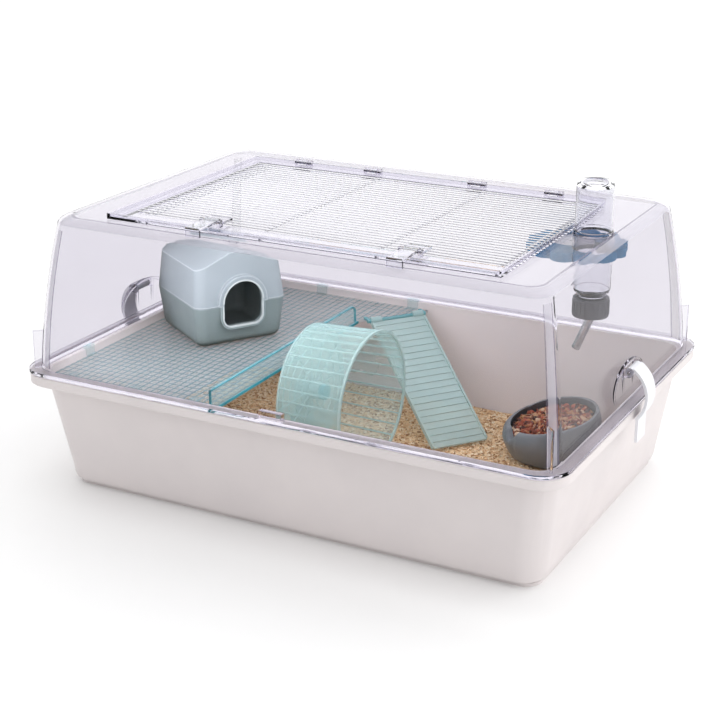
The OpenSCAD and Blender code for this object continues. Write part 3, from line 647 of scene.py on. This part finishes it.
def edge_strips():
    """Deeper-coloured edges of the guard and of the deck's free side."""
    dlo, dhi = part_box("platform_deck")
    glo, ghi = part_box("platform_guard")
    t, r = STRIP * MM, GUARD_R * MM
    x = (glo.x + ghi.x) / 2
    wide = ghi.x - glo.x + 0.2 * MM
    strips = ([], [])
    box_mesh(*strips, move(x, (glo.y + ghi.y - r) / 2, ghi.z - t / 2), (wide, ghi.y - r - glo.y, t))
    box_mesh(*strips, move(x, glo.y + t / 2, (glo.z + ghi.z) / 2), (wide, t, ghi.z - glo.z))
    box_mesh(*strips, move(x, ghi.y - t / 2, (glo.z + ghi.z - r) / 2), (wide, t, ghi.z - r - glo.z))
    steps = 8
    for i in range(steps):
        a = math.pi / 2 * (i + 0.5) / steps
        m = (move(x, ghi.y - r + (r - t / 2) * math.sin(a), ghi.z - r + (r - t / 2) * math.cos(a))
             @ turn(-a, "X"))
        box_mesh(*strips, m, (wide, r * math.pi / 2 / steps * 1.1, t))
    end = DECK_CORNER_Y * MM
    m = move((DECK_EDGE_X + 0.1) * MM, (dlo.y + end) / 2, (dlo.z + dhi.z) / 2)
    box_mesh(*strips, m, (0.8 * MM, end - dlo.y - 2 * MM, dhi.z - dlo.z + 0.2 * MM))
    o = make_object("platform_edges", *strips, TEAL_EDGE, "upper_floor", 30)


edge_strips()

# ---------------------------------------------------------------- cover's painted highlights and dark lines

FOOT_INSET, LEAN, CURVE = 10.0, 8.5, 9.0      # as lid_foot_inset, lid_lean and lid_curve
LONG_LEAN = 0.8                    # how much more the long walls lean
FOOT_CORNER, CORNER_LOSS = 23.0, 6.0          # corner radius at the foot, and its loss at the top
FILLET_RUN, FILLET_RISE = 10.5, 10.0
INSIDE = 2.6                       # depth below the cover's outer face, in mm
CORNERS = ((1, 1), (-1, 1), (-1, -1), (1, -1))


def wall_inset(u):
    """How far the wall has leaned in at share u of its height, in mm."""
    return FOOT_INSET + LEAN * u + CURVE * u * u


def wall_ring(u):
    """Half length, half width and corner radius just inside the cover's wall, at share u."""
    d = wall_inset(u) + INSIDE
    return COVER_X - d, COVER_Y - d - LONG_LEAN * u, FOOT_CORNER - CORNER_LOSS * u - INSIDE


def corner_point(q, a, hx, hy, r, z):
    """Point at angle a on the rounded corner q, counted from the +X +Y one."""
    sx, sy = CORNERS[q]
    t = math.radians(90 * q + a)
    return Vector((sx * (hx - r) + r * math.cos(t), sy * (hy - r) + r * math.sin(t), z)) * MM


def corner_strip(a0, a1):
    """Upright strips up all four corners, between two angles of the corner's arc."""
    verts, faces = [], []
    rows, cols = 12, 4
    for q in range(len(CORNERS)):
        k = len(verts)
        for i in range(rows + 1):
            z = FOOT_Z + 1 + (SHOULDER_Z - FOOT_Z - 4) * i / rows
            ring = wall_ring((z - FOOT_Z) / (SHOULDER_Z - FOOT_Z))
            for j in range(cols + 1):
                verts.append(corner_point(q, a0 + (a1 - a0) * j / cols, *ring, z))
        for i in range(rows):
            for j in range(cols):
                n = k + i * (cols + 1) + j
                faces.append((n, n + 1, n + cols + 2, n + cols + 1))
    return verts, faces


def shoulder_strip(b0, b1):
    """Strip all round the cover's upper edge, between two angles of its fillet."""
    verts, faces = [], []
    rows, per = 4, 7
    m = len(CORNERS) * per
    hx, hy, r = wall_ring(1.0)
    for i in range(rows + 1):
        b = math.radians(b0 + (b1 - b0) * i / rows)
        d = FILLET_RUN * (1 - math.cos(b))
        z = SHOULDER_Z + (FILLET_RISE - INSIDE) * math.sin(b)
        for q in range(len(CORNERS)):
            for j in range(per):
                verts.append(corner_point(q, 90 * j / (per - 1), hx - d, hy - d, r, z))
    for i in range(rows):
        for j in range(m):
            n = (j + 1) % m
            faces.append((i * m + j, i * m + n, (i + 1) * m + n, (i + 1) * m + j))
    return verts, faces


def cover_sheen():
    """Painted highlight: whitish see-through strips along the cover's rounded edges, with fine
    painted dark lines beside them.
    """
    # the crease strips are painted dark lines beside the highlight
    for name, mesh, mat in (("corner_sheen", corner_strip(48, 74), SHEEN),
                            ("corner_painted_dark_line_a", corner_strip(43, 47), PAINTED_DARK_LINE),
                            ("corner_painted_dark_line_b", corner_strip(75, 80), PAINTED_DARK_LINE),
                            ("shoulder_sheen", shoulder_strip(12, 74), SHOULDER_HIGHLIGHT),
                            ("shoulder_painted_dark_line", shoulder_strip(78, 88), PAINTED_DARK_LINE)):
        o = make_object(name, *mesh, mat, "cover", 60)


cover_sheen()

# ---------------------------------------------------------------- house doorway's lip

HOUSE_FRONT = -53.5                # the front wall's face, from the house's middle, in mm
DOOR_W = 21.8                      # half width, and radius of the arched top
DOOR_MID, DOOR_SILL = 158.0, 132.7
DOOR_R = 9.3                       # radius of the lower corners
LIP_UP, LIP_DOWN = 3.4, 2.2        # how far the lip stands out from the upper and lower half
LIP_BACK, LIP_DEPTH, LIP_LINE = 1.7, 2.4, 1.5


def doorway_path():
    """Points of the doorway's outline, in mm across and up, clockwise from its lower left."""
    pts = []
    for cx, cz, r, a0, a1 in ((-(DOOR_W - DOOR_R), DOOR_SILL + DOOR_R, DOOR_R, 270, 180),
                              (0.0, DOOR_MID, DOOR_W, 180, 0),
                              (DOOR_W - DOOR_R, DOOR_SILL + DOOR_R, DOOR_R, 0, -90)):
        steps = 28 if r == DOOR_W else 8
        for i in range(steps + 1):
            a = math.radians(a0 + (a1 - a0) * i / steps)
            pts.append((cx + r * math.cos(a), cz + r * math.sin(a)))
    return pts


def doorway_lip():
    """Thin pale ring round the doorway, split where the two halves of the house meet."""
    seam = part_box("house_roof")[0].z / MM
    place = Matrix.Translation(HOUSE_AT) @ turn(HOUSE_TURN, "Z")
    path = doorway_path()
    halves = {"house_lower": ([], []), "house_upper": ([], [])}
    for i, (x0, z0) in enumerate(path):
        x1, z1 = path[(i + 1) % len(path)]
        length = math.hypot(x1 - x0, z1 - z0)
        if length < 0.01:
            continue
        x, z = (x0 + x1) / 2, (z0 + z1) / 2
        body, out = ("house_upper", LIP_UP) if z > seam else ("house_lower", LIP_DOWN)
        m = (place @ move(x * MM, (HOUSE_FRONT - out + LIP_BACK) * MM, z * MM)
             @ turn(-math.atan2(z1 - z0, x1 - x0), "Y"))
        box_mesh(*halves[body], m, ((length + 0.25) * MM, LIP_DEPTH * MM, LIP_LINE * MM))
    for body, (verts, faces) in halves.items():
        o = make_object("lip_" + body, verts, faces, LIP, body, 50)


doorway_lip()

# ---------------------------------------------------------------- floor, camera, light

GROUND_HALF = 6.0
CAMERA_AZ, CAMERA_EL = math.radians(27.81), math.radians(20.29)
CAMERA_TARGET = Vector((-0.00704, 0.0, 0.11283))
CAMERA_AWAY = 1.57243
LENS = 79.74
SKY = (("X", 0.20), ("Y", 0.50), ("Z", 0.25))  # how much brighter it gets along each axis


def stage():
    me = bpy.data.meshes.new("ground")
    s = GROUND_HALF
    me.from_pydata([(-s, -s, 0), (s, -s, 0), (s, s, 0), (-s, s, 0)], [], [(0, 1, 2, 3)])
    o = put("ground", me)
    m, t, b = new_material("ground_white")
    col = ramp(t, noise(t, 3.0), [(0.3, grey(0.93)), (0.7, grey(0.95))])
    t.links.new(col, b.inputs["Base Color"])
    b.inputs["Roughness"].default_value = 0.9
    b.inputs["Specular IOR Level"].default_value = 0.1
    me.materials.append(m)


def camera():
    cam = bpy.data.cameras.new("camera")
    o = put("camera", cam)
    back = Vector((math.sin(CAMERA_AZ) * math.cos(CAMERA_EL),
                   -math.cos(CAMERA_AZ) * math.cos(CAMERA_EL), math.sin(CAMERA_EL)))
    o.location = CAMERA_TARGET + back * CAMERA_AWAY
    o.rotation_euler = (math.pi / 2 - CAMERA_EL, 0.0, CAMERA_AZ)
    cam.sensor_width = 36.0
    cam.lens = LENS
    cam.clip_start, cam.clip_end = 0.05, 50.0
    bpy.context.scene.camera = o


def world():
    """Soft white surroundings, brighter to the right, behind and above."""
    w = bpy.data.worlds.new("studio")
    bpy.context.scene.world = w
    w.use_nodes = True
    t = w.node_tree
    bg = t.nodes["Background"]
    sep = add(t, "ShaderNodeSeparateXYZ")
    c = add(t, "ShaderNodeTexCoord")
    t.links.new(c.outputs["Generated"], sep.inputs["Vector"])
    strength = 1.0
    for axis, gain in SKY:
        strength = calc(t, "MULTIPLY_ADD", sep.outputs[axis], gain, strength)
    t.links.new(strength, bg.inputs["Strength"])
    bg.inputs["Color"].default_value = (*WHITE, 1.0)


def area(name, loc, target, size, power, hidden=False):
    """Rectangular light. A hidden one lights the cage from within and isn't seen itself."""
    light = bpy.data.lights.new(name, "AREA")
    light.shape = "RECTANGLE"
    light.size, light.size_y = size
    light.energy = power
    o = put(name, light)
    o.location = loc
    d = Vector(target) - Vector(loc)
    o.rotation_euler = d.to_track_quat("-Z", "Y").to_euler()
    if hidden:
        o.visible_camera = o.visible_glossy = o.visible_transmission = False


stage()
camera()
world()
area("top_softbox", (0.3, 0.2, 1.8), (0, 0, 0.1), (1.6, 1.6), 2.0)
area("side_softbox", (1.7, -0.5, 0.9), (0, 0, 0.15), (1.0, 1.0), 2.0)
area("under_roof", (-0.03, -0.02, 0.262), (-0.03, -0.02, 0), (0.34, 0.26), 0.38, hidden=True)
area("inside_front", (0.03, -0.17, 0.20), (0.06, 0.15, 0.09), (0.40, 0.07), 0.32, hidden=True)
area("inside_left", (-0.235, -0.15, 0.205), (-0.19, 0.08, 0.14), (0.07, 0.09), 0.16, hidden=True)
bpy.context.scene.view_settings.view_transform = "Standard"
bpy.context.scene.view_settings.look = "None"
bpy.context.scene.cycles.transparent_max_bounces = 40
